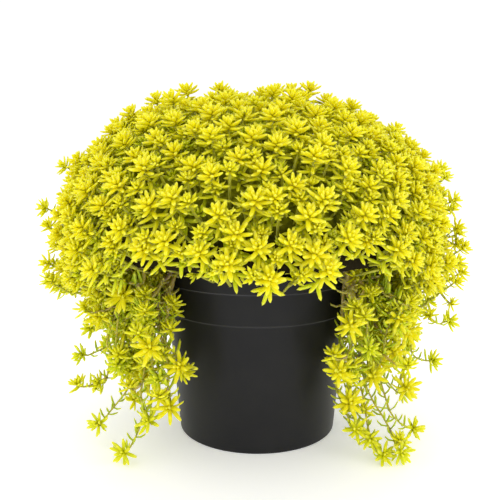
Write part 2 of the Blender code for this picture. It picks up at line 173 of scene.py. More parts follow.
def turned(profile, sides):
    """A mesh of revolution, with the profile's ends on the axis."""
    points, rings = [], []
    for radius, height in profile:
        if radius == 0:
            rings.append([len(points)] * sides)
            points.append((0, 0, height))
            continue
        rings.append(list(range(len(points), len(points) + sides)))
        for i in range(sides):
            turn = math.tau * i / sides
            points.append((radius * math.cos(turn), radius * math.sin(turn), height))
    faces = []
    for low, high in zip(rings, rings[1:]):
        for i in range(sides):
            j = (i + 1) % sides
            faces.append(list(dict.fromkeys([low[i], low[j], high[j], high[i]])))
    mesh = bpy.data.meshes.new("turned")
    mesh.from_pydata(points, [], faces)
    return mesh


def new_piece(name, mesh, finish):
    """Adds a piece to the scene with its finish. It rides on the pot's body."""
    piece = bpy.data.objects.new(name, mesh)
    bpy.context.scene.collection.objects.link(piece)
    mesh.materials.append(finish)
    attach(piece, "root")
    return piece


def new_finish(name):
    """A material and its Principled BSDF."""
    finish = bpy.data.materials.new(name)
    finish.use_nodes = True
    return finish, finish.node_tree.nodes["Principled BSDF"]


def add_node(tree, kind, **values):
    """A node in a node tree, with its properties and the values of its inputs."""
    node = tree.nodes.new(kind)
    for key, value in values.items():
        if key in node.inputs:
            node.inputs[key].default_value = value
        else:
            setattr(node, key, value)
    return node


def add_range(tree, low, high, new_low, new_high):
    """A node that maps one range of values to another."""
    node = add_node(tree, "ShaderNodeMapRange")
    limits = {"From Min": low, "From Max": high, "To Min": new_low, "To Max": new_high}
    for key, value in limits.items():
        node.inputs[key].default_value = value
    return node


def add_ramp(tree, *stops):
    """A colour ramp through stops of (position, red, green, blue), from first to last."""
    node = add_node(tree, "ShaderNodeValToRGB")
    elements = node.color_ramp.elements
    for element, (position, *colour) in ((elements[1], stops[-1]), (elements[0], stops[0])):
        element.position = position
        element.color = (*colour, 1)
    for position, *colour in stops[1:-1]:
        elements.new(position).color = (*colour, 1)
    return node


plastic, plastic_shader = new_finish("black_polypropylene")
plastic_shader.inputs["Specular IOR Level"].default_value = 0.22
tree = plastic.node_tree
link = tree.links.new
where = add_node(tree, "ShaderNodeTexCoord")
dust_and_highlight_noise = add_node(tree, "ShaderNodeTexNoise", Scale=28.0, Detail=6.0, Roughness=0.65)
link(where.outputs["Object"], dust_and_highlight_noise.inputs["Vector"])
shine = add_range(tree, 0, 1, 0.36, 0.52)
link(dust_and_highlight_noise.outputs["Fac"], shine.inputs["Value"])
link(shine.outputs["Result"], plastic_shader.inputs["Roughness"])
tone = add_ramp(tree, (0.35, 0.0080, 0.0080, 0.0090), (0.75, 0.0125, 0.0125, 0.0125))
link(dust_and_highlight_noise.outputs["Fac"], tone.inputs["Fac"])

# Painted highlight: a lighter grey is mixed into the plastic along thin lines at given heights, broken up by
# the same noise that varies its tone and roughness.
heights = add_node(tree, "ShaderNodeSeparateXYZ")
link(where.outputs["Object"], heights.inputs["Vector"])
scaled = add_node(tree, "ShaderNodeMath", operation="DIVIDE")
link(heights.outputs["Z"], scaled.inputs[0])
scaled.inputs[1].default_value = highlight_height_scale
highlight_stops = [((edge + away) / highlight_height_scale, share, share, share) for edge, strength in highlight_lines
          for away, share in ((-highlight_line_width, 0), (0, strength), (highlight_line_width, 0))]
highlight_ramp = add_ramp(tree, (0, 0, 0, 0), *highlight_stops, (1, 0, 0, 0))
link(scaled.outputs["Value"], highlight_ramp.inputs["Fac"])
patchy_highlight = add_node(tree, "ShaderNodeMath", operation="MULTIPLY")
link(highlight_ramp.outputs["Color"], patchy_highlight.inputs[0])
link(dust_and_highlight_noise.outputs["Fac"], patchy_highlight.inputs[1])
highlighted = add_node(tree, "ShaderNodeMix", data_type="RGBA")
link(patchy_highlight.outputs["Value"], highlighted.inputs["Factor"])
link(tone.outputs["Color"], highlighted.inputs["A"])
highlighted.inputs["B"].default_value = (0.16, 0.16, 0.17, 1)
link(highlighted.outputs["Result"], plastic_shader.inputs["Base Color"])

grain = add_node(tree, "ShaderNodeTexNoise", Scale=1400.0, Detail=3.0)
link(where.outputs["Object"], grain.inputs["Vector"])
pitting = add_node(tree, "ShaderNodeBump", Strength=0.12, Distance=0.0002)
link(grain.outputs["Fac"], pitting.inputs["Height"])
link(pitting.outputs["Normal"], plastic_shader.inputs["Normal"])

pot_corners = [
    (0, foot_recess, 0),
    (foot_radius - foot_ring - foot_slope, foot_recess, 0.0006),
    (foot_radius - foot_ring, 0, 0.0006),
    (foot_radius, 0, 0.0018),
    (below_step, step_height, 0.0003),
    (above_step, step_height + ledge, 0.0003),
    (collar_radius, collar_bottom, 0.0004),
    (rim_radius, collar_bottom + ledge, 0.0008),
    (rim_radius, pot_height, 0.0010),
    (rim_radius - lip_width, pot_height, 0.0010),
    (collar_radius - wall, collar_bottom, 0.0006),
    (above_step - wall, step_height, 0.0003),
    (foot_radius - wall, foot_recess + bottom_thickness, 0.0018),
    (0, foot_recess + bottom_thickness, 0),
]
pot_shell = new_piece("pot_shell", turned(rounded_profile(pot_corners), pot_sides), plastic)
drill_profile = [(0, drill_low), (drain_radius, drill_low), (drain_radius, drill_high), (0, drill_high)]
for i in range(drain_holes):
    turn = math.tau * (i + 0.5) / drain_holes
    drill = bpy.data.objects.new("drill", turned(drill_profile, drain_sides))
    drill.location = (drain_circle * math.cos(turn), drain_circle * math.sin(turn), 0)
    bpy.context.scene.collection.objects.link(drill)
    bpy.context.view_layer.update()
    hole = pot_shell.modifiers.new("drain", "BOOLEAN")
    hole.object = drill
    hole.solver = "EXACT"
    hole.operation = "DIFFERENCE"
    graph = bpy.context.evaluated_depsgraph_get()
    drilled = bpy.data.meshes.new_from_object(pot_shell.evaluated_get(graph))
    pot_shell.modifiers.clear()
    pot_shell.data = drilled
    bpy.data.objects.remove(drill)
pot_shell.data.shade_smooth()
pot_shell.data.set_sharp_from_angle(angle=math.radians(35))
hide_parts("pot")


# The potting mix
# Dark fibrous peat with bits of bark, filled loosely to below the rim. Its surface is a
# low mound, rough at the scale of its crumbs.

soil_low, soil_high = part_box("soil")
soil_top = soil_high.z
soil_radius = soil_high.x
plug_base = foot_radius - 0.0052
plug_corner = (foot_radius - 0.0019, 0.0072)
plug_step = (below_step - 0.0022, step_height - 0.0014)
mound = 0.0022
mound_rings = 24
soil_sides = 96
rough_depth = 0.004
smooth_edge = 0.001
large_crumb = 0.0022
large_crumb_scale = 160
fine_crumb = 0.0012
fine_crumb_scale = 420

mix, mix_shader = new_finish("peat_mix")
mix_shader.inputs["Roughness"].default_value = 0.95
tree = mix.node_tree
link = tree.links.new
where = add_node(tree, "ShaderNodeTexCoord")
crumb = add_node(tree, "ShaderNodeTexNoise", Scale=420.0, Detail=8.0, Roughness=0.7)
link(where.outputs["Object"], crumb.inputs["Vector"])
earth = add_ramp(tree, (0.32, 0.010, 0.007, 0.005), (0.72, 0.075, 0.045, 0.024))
link(crumb.outputs["Fac"], earth.inputs["Fac"])
link(earth.outputs["Color"], mix_shader.inputs["Base Color"])
crumb_bump = add_node(tree, "ShaderNodeBump", Strength=0.8, Distance=0.0012)
link(crumb.outputs["Fac"], crumb_bump.inputs["Height"])
link(crumb_bump.outputs["Normal"], mix_shader.inputs["Normal"])

soil_profile = [(0, soil_low.z), (plug_base, soil_low.z), plug_corner, plug_step]
for i in range(mound_rings):
    share = 1 - i / mound_rings
    soil_profile.append((soil_radius * share, soil_top - mound * share**2))
soil_profile.append((0, soil_top))
soil_mesh = turned(soil_profile, soil_sides)
for vert in soil_mesh.vertices:
    if vert.co.z > soil_top - rough_depth and vert.co.xy.length < soil_radius - smooth_edge:
        rough = large_crumb * abs(noise.noise(vert.co * large_crumb_scale))
        vert.co.z -= rough + fine_crumb * abs(noise.noise(vert.co * fine_crumb_scale))
soil_mesh.shade_smooth()
potting_mix = new_piece("potting_mix", soil_mesh, mix)
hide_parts("soil")


# Leaves and stems of the sedum
# Each leaf is a fleshy spindle, flatter on top, with a narrow seat on the stem and a blunt
# point. Leaves follow one another round the stem by the golden angle: the youngest stand
# upright at its tip, and the older ones spread, and then turn green.

golden_angle = math.pi * (3 - math.sqrt(5))
up = Vector((0, 0, 1))
leaf_length = 0.0115
leaf_half_width = 0.00144
leaf_back = 0.55
leaf_belly = 0.85
rosette_leaves = 15
orderly_leaves = 13
heart_spacing = 0.00028
heart_angle = 6
opened_angle = 94
along_scatter = 0.0008
turn_scatter = 0.2
angle_scatter = 6
bends = (6, 22)
size_scatter = (0.90, 1.08)
hooked_sizes = (0.66, 0.98)
hooked_width = 0.74
hooks = (35, 105)
rosette_ageing = 0.008
stem_ageing = 1.3
floor_gap = 0.0006
fine_leaf = {"sides": 6, "stations": (0.0, 0.30, 0.66, 0.91), "widths": (0.82, 0.98, 1.0, 0.62)}
plain_leaf = {"sides": 5, "stations": (0.0, 0.42, 0.82), "widths": (0.72, 1.0, 0.80)}
small_leaf = {"sides": 5, "stations": (0.0, 0.62), "widths": (0.66, 1.0)}
tiny_leaf = {"sides": 4, "stations": (0.0, 0.60), "widths": (0.60, 1.0)}


def new_pile():
    """Leaves and stems that wait to become one piece."""
    return {"points": [], "faces": [], "age": [], "along": [], "tint": [], "stem": [], "count": 0}


def pile_on(pile, points, faces, age, along, tint, stem):
    """Adds points, faces and the values that the finish reads at each point."""
    pile["faces"] += faces
    pile["points"].append(points)
    for key, values in (("age", age), ("along", along), ("tint", tint), ("stem", stem)):
        pile[key].append(np.broadcast_to(values, len(points)))
    pile["count"] += len(points)


def add_leaves(pile, leaves, form, woody=0.0):
    """Adds leaves, each (root, stem direction, outward direction, length, half width,
    angle from the stem at its seat, the same at its tip, age, tint)."""
    if not leaves:
        return
    root = np.array([leaf[0] for leaf in leaves])
    axis = np.array([leaf[1] for leaf in leaves])
    out = np.array([leaf[2] for leaf in leaves])
    length, half, seat, tip, age, tint = np.array([leaf[3:] for leaf in leaves]).T
    side = np.cross(axis, out)
    stations = np.array(form["stations"] + (1.0,))
    widths = np.array(form["widths"])
    sides = form["sides"]
    spine, rings = root.copy(), []
    for i, station in enumerate(stations):
        angle = (seat + (tip - seat) * station)[:, None]
        if i:
            middle = (seat + (tip - seat) * (station + stations[i - 1]) / 2)[:, None]
            step = (length * (station - stations[i - 1]))[:, None]
            spine = spine + step * (np.cos(middle) * axis + np.sin(middle) * out)
        if i == len(widths):
            rings.append(spine[:, None, :])
            break
        upper = np.sin(angle) * axis - np.cos(angle) * out
        turns = math.tau * np.arange(sides) / sides
        flat = np.where(np.sin(turns) > 0, leaf_back, leaf_belly) * np.sin(turns)
        spread = np.cos(turns)[None, :, None] * side[:, None, :] + flat[None, :, None] * upper[:, None, :]
        rings.append(spine[:, None, :] + (half * widths[i])[:, None, None] * spread)
    points = np.concatenate(rings, axis=1)
    per_leaf = points.shape[1]
    along = np.concatenate([np.full(sides, s) for s in stations[:-1]] + [[1.0]])
    pattern = [tuple(range(sides))[::-1]]
    for i in range(len(widths) - 1):
        for k in range(sides):
            n = (k + 1) % sides
            pattern.append((i * sides + k, i * sides + n, (i + 1) * sides + n, (i + 1) * sides + k))
    last = (len(widths) - 1) * sides
    pattern += [(last + k, last + (k + 1) % sides, per_leaf - 1) for k in range(sides)]
    first = pile["count"]
    faces = []
    for i in range(len(leaves)):
        start = first + i * per_leaf
        faces += [tuple(start + c for c in face) for face in pattern]
    pile_on(pile, points.reshape(-1, 3), faces, np.repeat(age, per_leaf),
            np.tile(along, len(leaves)), np.repeat(tint, per_leaf), woody)


def add_stem(pile, path, thick, thin, sides, age, tint, young=0.0):
    """Adds a tapered tube along a path, which grows younger towards its tip."""
    points, faces = [], []
    across = None
    count = len(path)
    for i, point in enumerate(path):
        ahead = (path[min(i + 1, count - 1)] - path[max(i - 1, 0)]).normalized()
        across = ahead.orthogonal() if across is None else across - ahead * across.dot(ahead)
        across.normalize()
        beside = ahead.cross(across)
        radius = thick + (thin - thick) * i / (count - 1)
        for k in range(sides):
            turn = math.tau * k / sides
            points.append(point + radius * (math.cos(turn) * across + math.sin(turn) * beside))
    first = pile["count"]
    for i in range(count - 1):
        for k in range(sides):
            n = (k + 1) % sides
            row, above = first + i * sides, first + (i + 1) * sides
            faces.append((row + k, row + n, above + n, above + k))
    faces.append(tuple(range(first, first + sides))[::-1])
    faces.append(tuple(range(first + (count - 1) * sides, first + count * sides)))
    along = np.repeat(np.linspace(0, 1, count), sides)
    ages = young + (age - young) * (1 - along) ** stem_ageing
    pile_on(pile, np.array([tuple(p) for p in points]), faces, ages, along, tint, 1.0)


def piece_from(pile, name, finish):
    """One smooth piece from a pile, with the values at its points as attributes."""
    mesh = bpy.data.meshes.new(name)
    points = np.concatenate(pile["points"])
    points[:, 2] = np.maximum(points[:, 2], floor_gap)
    mesh.from_pydata(points.tolist(), [], pile["faces"])
    for key in ("age", "along", "tint", "stem"):
        values = mesh.attributes.new(key, "FLOAT", "POINT")
        values.data.foreach_set("value", np.concatenate(pile[key]).astype(np.float32))
    mesh.shade_smooth()
    mesh.validate()
    return new_piece(name, mesh, finish)


def curve_points(start, leave, arrive, end, count):
    """Points along one cubic curve."""
    made = []
    for i in range(count):
        t = i / (count - 1)
        s = 1 - t
        made.append(s**3 * start + 3 * s * s * t * leave + 3 * s * t * t * arrive + t**3 * end)
    return made


def walk_back(path, distance):
    """The place and direction on a path at a distance back from its tip."""
    for i in range(len(path) - 1, 0, -1):
        run = path[i] - path[i - 1]
        if distance <= run.length or i == 1:
            return path[i] - run.normalized() * max(0.0, min(distance, run.length)), run.normalized()
        distance -= run.length


def leaf_places(path, count, length, spin, rng, age=0.0, spacing=0.0010, hooked=False,
                ageing=0.022, oldest=1.0, opening=11.0):
    """The leaves of one shoot from its tip down, in the form that add_leaves takes. Hooked
    leaves turn up towards the light, whichever way their stem hangs."""
    made = []
    tint = rng.uniform(0, 1)
    filling = 4.0 if hooked else 7.5
    for k in range(count):
        back = heart_spacing * k + spacing * max(0.0, k - rosette_leaves) ** 1.15
        if k > orderly_leaves:
            back += rng.uniform(-along_scatter, along_scatter)
        place, axis = walk_back(path, back)
        turn = spin + k * golden_angle + rng.uniform(-turn_scatter, turn_scatter)
        across = axis.orthogonal().normalized()
        out = math.cos(turn) * across + math.sin(turn) * axis.cross(across)
        spread = heart_angle + opened_angle * (1 - math.exp(-k / opening))
        opened = math.radians(spread + rng.uniform(-angle_scatter, angle_scatter))
        bend = math.radians(rng.uniform(*bends))
        seat, tip = opened + bend / 2, opened - bend / 2
        grown = length * (0.32 + 0.70 * (1 - math.exp(-k / filling))) * rng.uniform(*size_scatter)
        half = leaf_half_width * (0.80 + 0.20 * (1 - math.exp(-k / 5.0))) * length / leaf_length
        older = age + rosette_ageing * max(0, k - 5) + ageing * max(0, k - rosette_leaves)
        if hooked and k > orderly_leaves:
            grown *= rng.uniform(*hooked_sizes)
            half *= hooked_width
            leaving = math.cos(seat) * axis + math.sin(seat) * out
            level = Vector((leaving.x, leaving.y, 0))
            if level.length > 0.2:
                axis, out, seat = up, level.normalized(), leaving.angle(up)
                tip = max(0.1, seat - math.radians(rng.uniform(*hooks)))
        made.append((tuple(place + 0.0004 * out), tuple(axis), tuple(out), grown, half,
                     seat, tip, min(oldest, older), (tint + 0.35 * rng.random()) / 1.35))
    return made


# The skin of the leaves
# Waxy and bright lemon yellow in the sun, with paler tips, and going through lime to olive
# on the older leaves. The stems are green, and take the colour of their bark as they age.

skin = bpy.data.node_groups.new("leaf_skin", "ShaderNodeTree")
tint_range = 0.16
mottle_range = 0.10
age_offset = 0.12

for socket, kind, value in (("Age", "NodeSocketFloat", 0), ("Along", "NodeSocketFloat", 0),
                            ("Tint", "NodeSocketFloat", 0.5), ("Stem", "NodeSocketFloat", 0),
                            ("Tip", "NodeSocketColor", (0.84, 0.78, 0.095, 1)),
                            ("Bark", "NodeSocketColor", (0.35, 0.22, 0.09, 1))):
    made = skin.interface.new_socket(socket, in_out="INPUT", socket_type=kind)
    made.default_value = value
skin.interface.new_socket("Color", in_out="OUTPUT", socket_type="NodeSocketColor")
skin.interface.new_socket("Roughness", in_out="OUTPUT", socket_type="NodeSocketFloat")
skin.interface.new_socket("Height", in_out="OUTPUT", socket_type="NodeSocketFloat")
inside = skin.nodes.new("NodeGroupInput")
outside = skin.nodes.new("NodeGroupOutput")
link = skin.links.new

place = add_node(skin, "ShaderNodeTexCoord")
mottle = add_node(skin, "ShaderNodeTexNoise", Scale=160.0, Detail=3.0)
link(place.outputs["Object"], mottle.inputs["Vector"])
jitter = add_node(skin, "ShaderNodeMath", operation="MULTIPLY_ADD")
link(inside.outputs["Tint"], jitter.inputs[0])
jitter.inputs[1].default_value = tint_range
link(inside.outputs["Age"], jitter.inputs[2])
spotted = add_node(skin, "ShaderNodeMath", operation="MULTIPLY_ADD")
link(mottle.outputs["Fac"], spotted.inputs[0])
spotted.inputs[1].default_value = mottle_range
link(jitter.outputs["Value"], spotted.inputs[2])
shifted = add_node(skin, "ShaderNodeMath", operation="SUBTRACT")
link(spotted.outputs["Value"], shifted.inputs[0])
shifted.inputs[1].default_value = age_offset
ageing = add_ramp(skin, (0, 0.86, 0.750, 0.012), (0.22, 0.83, 0.770, 0.018), (0.50, 0.62, 0.70, 0.024),
                  (0.75, 0.34, 0.45, 0.024), (1, 0.17, 0.25, 0.020))
link(shifted.outputs["Value"], ageing.inputs["Fac"])

paling = add_range(skin, 0.62, 1.0, 0, 0.70)
link(inside.outputs["Along"], paling.inputs["Value"])
tipped = add_node(skin, "ShaderNodeMix", data_type="RGBA")
link(paling.outputs["Result"], tipped.inputs["Factor"])
link(ageing.outputs["Color"], tipped.inputs["A"])
link(inside.outputs["Tip"], tipped.inputs["B"])

stem_tone = add_node(skin, "ShaderNodeMix", data_type="RGBA")
link(inside.outputs["Age"], stem_tone.inputs["Factor"])
stem_tone.inputs["A"].default_value = (0.46, 0.47, 0.04, 1)
link(inside.outputs["Bark"], stem_tone.inputs["B"])
whole = add_node(skin, "ShaderNodeMix", data_type="RGBA")
link(inside.outputs["Stem"], whole.inputs["Factor"])
link(tipped.outputs["Result"], whole.inputs["A"])
link(stem_tone.outputs["Result"], whole.inputs["B"])
link(whole.outputs["Result"], outside.inputs["Color"])

waxy = add_range(skin, 0, 1, 0.44, 0.60)
link(mottle.outputs["Fac"], waxy.inputs["Value"])
link(waxy.outputs["Result"], outside.inputs["Roughness"])
pores = add_node(skin, "ShaderNodeTexNoise", Scale=1500.0)
link(place.outputs["Object"], pores.inputs["Vector"])
link(pores.outputs["Fac"], outside.inputs["Height"])


def leaf_finish(name, bark):
    """The plant's skin, with its own colour of old stem."""
    finish, shader = new_finish(name)
    shader.inputs["Specular IOR Level"].default_value = 0.20
    shader.inputs["Subsurface Weight"].default_value = 1.0
    shader.inputs["Subsurface Radius"].default_value = (1.0, 0.95, 0.15)
    shader.inputs["Subsurface Scale"].default_value = 0.003
    tree = finish.node_tree
    link = tree.links.new
    group = add_node(tree, "ShaderNodeGroup", node_tree=skin)
    group.inputs["Bark"].default_value = bark
    for key in ("Age", "Along", "Tint", "Stem"):
        value = add_node(tree, "ShaderNodeAttribute", attribute_name=key.lower())
        link(value.outputs["Fac"], group.inputs[key])
    bump = add_node(tree, "ShaderNodeBump", Strength=0.10, Distance=0.0002)
    link(group.outputs["Color"], shader.inputs["Base Color"])
    link(group.outputs["Roughness"], shader.inputs["Roughness"])
    link(group.outputs["Height"], bump.inputs["Height"])
    link(bump.outputs["Normal"], shader.inputs["Normal"])
    return finish


# The dome of foliage
# Some hundreds of shoots rise from the mix, branch, and end in rosettes that close up into
# a full dome, with lower shoots between them. It hangs lower at the left and right, and is
# parted to both sides of its front, where the sprays' bare stems come out.

dome_radius = 0.1650
dome_centre = 0.166
dome_rise = 0.1170
dome_fullness = 2.19
skirt_front = 0.155
skirt_side = 0.123
skirt_from = 0.74
skirt_blend = 0.20
parting_depth = 0.020
parting_place = 0.45
parting_width = 0.13
lean_left = 0.025
side_from = 0.80
side_blend = 0.15
side_top = 0.222
side_top_blend = 0.03
drawn_in = 0.008
crown_share = 0.80
root_spread = 0.068
root_pull = 0.42
upward = 0.85
wild_lean = 0.24
placed_lean = 0.12
stray_reach = 0.0035
rosettes = 484
middle_shoots = 610
deep_shoots = 480
under_shoots = 64
under_inner = 0.092
under_outer = 0.150
under_height = 0.146
under_slope = 0.08
low_shoots = 0.170
dome_stem = (0.0011, 0.0012)
star_gap = 0.0145
front_lengths = (0.0120, 0.0132)
near_side = 0.03

# Where the lowest and nearest stars are at the front, and those that stand out at the top.
front_stars = [
    (-0.020, -0.164, 0.168), (0.006, -0.165, 0.159), (0.042, -0.160, 0.164), (-0.060, -0.153, 0.181),
    (-0.038, -0.160, 0.175), (-0.001, -0.164, 0.178), (0.019, -0.163, 0.180), (0.034, -0.161, 0.174),
    (0.056, -0.154, 0.183), (-0.075, -0.146, 0.175), (-0.015, -0.162, 0.187), (0.030, -0.158, 0.197),
    (0.067, -0.147, 0.197), (-0.026, -0.159, 0.198), (-0.055, -0.148, 0.208), (-0.071, -0.143, 0.203),
    (-0.003, -0.157, 0.207), (0.040, -0.152, 0.207),
]
standing_stars = [
    (-0.082, -0.020, 0.280), (-0.058, -0.010, 0.288), (-0.030, -0.020, 0.288), (0.028, -0.020, 0.287),
    (0.042, -0.020, 0.288), (0.056, -0.020, 0.279), (0.076, -0.020, 0.275), (0.113, -0.020, 0.256),
]


def dome_outline():
    """(distance out, height) down the dome from its top to below its widest."""
    outline = []
    for i in range(121):
        angle = math.radians(90 - i)
        rise = math.copysign(abs(math.sin(angle)) ** (2 / dome_fullness), angle)
        outline.append((dome_radius * abs(math.cos(angle)) ** (2 / dome_fullness),
                        dome_centre + dome_rise * rise))
    return outline


def even_places(count, shift):
    """Places spread evenly over the dome, each with the outward direction there."""
    outline = dome_outline()
    areas = [0.0]
    for (r0, z0), (r1, z1) in zip(outline, outline[1:]):
        areas.append(areas[-1] + (r0 + r1) * math.hypot(r1 - r0, z1 - z0))
    places, step = [], 0
    for i in range(count):
        wanted = areas[-1] * (i + 0.5) / count
        while areas[step + 1] < wanted:
            step += 1
        share = (wanted - areas[step]) / (areas[step + 1] - areas[step])
        (r0, z0), (r1, z1) = outline[step], outline[step + 1]
        turn = i * golden_angle + shift
        facing = Vector((math.cos(turn), math.sin(turn), 0))
        point = (r0 + share * (r1 - r0)) * facing + (z0 + share * (z1 - z0)) * up
        normal = ((z0 - z1) * facing + (r1 - r0) * up).normalized()
        places.append((point, normal))
    return places


def under_places(count):
    """Places under the dome, from just over the rim to near its edge."""
    places = []
    for i in range(count):
        share = (i + 0.5) / count
        reach = math.sqrt(under_inner**2 + share * (under_outer**2 - under_inner**2))
        facing = Vector((math.cos(i * golden_angle), math.sin(i * golden_angle), 0))
        place = reach * facing + (under_height + under_slope * reach) * up
        places.append((place, (facing - 0.2 * up).normalized()))
    return places


def clamped(value):
    """The value, kept from 0 to 1."""
    return min(1.0, max(0.0, value))


def sideways(point):
    """How far round a place is, from 0 at the front or back to 1 at the left or right."""
    return abs(point.x) / max(math.hypot(point.x, point.y), 1e-6)


def lowest_there(point):
    """How low the foliage hangs in the point's direction: lower to the sides, and parted at
    the front where the sprays' bare stems come out."""
    share = clamped((sideways(point) - skirt_from) / skirt_blend)
    lowest = skirt_front + (skirt_side - skirt_front) * share
    if point.y < 0:
        lowest += parting_depth * math.exp(-((sideways(point) - parting_place) / parting_width) ** 2)
    return lowest


def side_share(point):
    """How far a place is at the dome's left or right side and low down, from 0 to 1."""
    share = clamped((sideways(point) - side_from) / side_blend)
    return share * clamped((side_top - point.z) / side_top_blend)


def dome_shoot(point, normal, rng, lift, lean):
    """The path of a shoot from the mix to a tip near the point, drawn in at the sides."""
    lift -= drawn_in * side_share(point)
    stray = Vector([rng.uniform(-1, 1) for _ in range(3)]) if lean > placed_lean else Vector()
    tip = point + (lift - lean_left * point.x) * normal + stray_reach * stray
    tilt = Vector([rng.uniform(-lean, lean) for _ in range(3)])
    facing = (normal + tilt + upward * up).normalized()
    spread = min(root_spread, root_pull * math.hypot(point.x, point.y))
    turn = math.atan2(point.y, point.x) + rng.uniform(-0.3, 0.3)
    foot = Vector((spread * math.cos(turn), spread * math.sin(turn), soil_top - 0.004))
    leave = foot + 0.055 * up + 0.010 * facing
    arrive = tip - 0.060 * facing
    return curve_points(foot, leave, arrive, tip, 7)


foliage = leaf_finish("golden_leaves", (0.36, 0.36, 0.05, 1))
rng = random.Random(12)
quarters = {name: new_pile() for name in ("crown", "front", "right", "back", "left")}


def quarter_of(point):
    """The part of the dome that a place belongs to."""
    if point.z > dome_centre + crown_share * dome_rise:
        return "crown"
    turn = math.degrees(math.atan2(point.y, point.x)) % 360
    return ("right", "back", "left", "front")[int(((turn + 45) % 360) // 90)]


placed = [Vector(star) for star in front_stars + standing_stars]
stars = []
for star in placed:
    facing = Vector((star.x / dome_radius**2, star.y / dome_radius**2, (star.z - dome_centre) / dome_rise**2))
    stars.append((star, facing.normalized()))
for point, normal in even_places(rosettes, 0.0):
    if point.z > lowest_there(point) and min((point - star).length for star in placed) > star_gap:
        stars.append((point, normal))
middle = [(p, n) for p, n in even_places(middle_shoots, 1.3) if p.z > lowest_there(p)]
deep = [(p, n) for p, n in even_places(deep_shoots, 2.6) if p.z > lowest_there(p)]
under = [(p, n) for p, n in under_places(under_shoots) if p.z > lowest_there(p) - 0.010]
# Each layer has its places, leaves on a shoot, their lengths, how far the tips stand off the
# dome, their age, how many leaves are finely made where they show, and the others' form.
layers = (
    (stars, 29, (0.0105, 0.0126), (-0.006, 0.003), 0.0, 15, plain_leaf),
    (middle, 15, (0.0092, 0.0108), (-0.008, -0.001), 0.12, 0, small_leaf),
    (deep, 15, (0.0095, 0.0115), (-0.019, -0.010), 0.46, 0, tiny_leaf),
    (under, 14, (0.0095, 0.0110), (0.0, 0.0), 0.30, 0, tiny_leaf),
)

stems = new_pile()
for shoots, count, lengths, lifts, age, fine, rest in layers:
    for number, (point, normal) in enumerate(shoots):
        lift, length, lean = rng.uniform(*lifts), rng.uniform(*lengths), wild_lean
        if shoots is stars and number < len(placed):
            lift, lean = lean_left * point.x, placed_lean
            if number < len(front_stars):
                length = rng.uniform(*front_lengths)
        path = dome_shoot(point, normal, rng, lift, lean)
        leaves = leaf_places(path, count, length, rng.uniform(0, math.tau), rng, age)
        pile = quarters[quarter_of(point)]
        close = fine if point.y < near_side else 0
        add_leaves(pile, leaves[:close], fine_leaf)
        add_leaves(pile, leaves[close:], rest)
        shown = path[3:] if point.z > low_shoots else path[5:]
        add_stem(stems, shown, *dome_stem, 3, 1.0, rng.random(), 0.30)

for name, pile in quarters.items():
    piece = piece_from(pile, "dome_" + name, foliage)
    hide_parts("sedum_bush")
stem_piece = piece_from(stems, "dome_stems", foliage)
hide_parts("sedum_bush")


# The thatch inside the dome
# Under the living leaves, old stems and withered leaves have matted together. The mat
# closes the dome behind the shoots. It is olive, and goes to near black brown low down,
# which is painted shade for the deep shade under the dome's edge.

thatch_inset = 0.033
neck_radius = 0.066
neck_low = soil_top + 0.0004
neck_high = 0.150
shelf = (0.100, 0.1525)
lumps_above = 0.153
lump_height = 0.006
lump_scale = 45
# Painted shade: low in the dome the mat is near black, blending up to its olive higher up.
shade_dark_below = 0.170
shade_clear_above = 0.198
mat_sides = 96

thatch, thatch_shader = new_finish("thatch_with_painted_shade")
thatch_shader.inputs["Roughness"].default_value = 1.0
thatch_shader.inputs["Specular IOR Level"].default_value = 0.1
tree = thatch.node_tree
link = tree.links.new
where = add_node(tree, "ShaderNodeTexCoord")
strands = add_node(tree, "ShaderNodeTexNoise", Scale=190.0, Detail=6.0, Roughness=0.6)
link(where.outputs["Object"], strands.inputs["Vector"])
shade = add_ramp(tree, (0.38, 0.09, 0.10, 0.004), (0.70, 0.46, 0.47, 0.014))
link(strands.outputs["Fac"], shade.inputs["Fac"])
# Painted shade: below a given height the mat's colour is mixed towards near black brown.
split = add_node(tree, "ShaderNodeSeparateXYZ")
link(where.outputs["Object"], split.inputs["Vector"])
shade_by_height = add_range(tree, shade_dark_below, shade_clear_above, 0, 1)
link(split.outputs["Z"], shade_by_height.inputs["Value"])
painted_low_shade = add_node(tree, "ShaderNodeMix", data_type="RGBA")
painted_low_shade.inputs["A"].default_value = (0.016, 0.012, 0.004, 1)
link(shade_by_height.outputs["Result"], painted_low_shade.inputs["Factor"])
link(shade.outputs["Color"], painted_low_shade.inputs["B"])
link(painted_low_shade.outputs["Result"], thatch_shader.inputs["Base Color"])
matting = add_node(tree, "ShaderNodeBump", Strength=0.7, Distance=0.002)
link(strands.outputs["Fac"], matting.inputs["Height"])
link(matting.outputs["Normal"], thatch_shader.inputs["Normal"])

outline = dome_outline()
mat_profile = [(0, neck_low), (neck_radius, neck_low), (neck_radius, neck_high), shelf]
for step in range(96, 0, -6):
    reach, height = outline[step]
    reach *= 1 - thatch_inset / dome_radius
    mat_profile.append((reach, dome_centre + (height - dome_centre) * (1 - thatch_inset / dome_rise)))
mat_profile.append((0, dome_centre + dome_rise - thatch_inset))
mat_mesh = turned(mat_profile, mat_sides)
for vert in mat_mesh.vertices:
    if vert.co.z > lumps_above:
        out = (vert.co - Vector((0, 0, dome_centre))).normalized()
        vert.co += out * lump_height * noise.noise(vert.co * lump_scale)
mat_mesh.shade_smooth()
mat = new_piece("dome_thatch", mat_mesh, thatch)
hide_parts("sedum_bush")


# The trailing sprays
# Long older shoots have grown over the rim to the left and right. Each spray leaves the
# mix as one bare tan stem, branches at the rim, and hangs with hooked leaves along it.

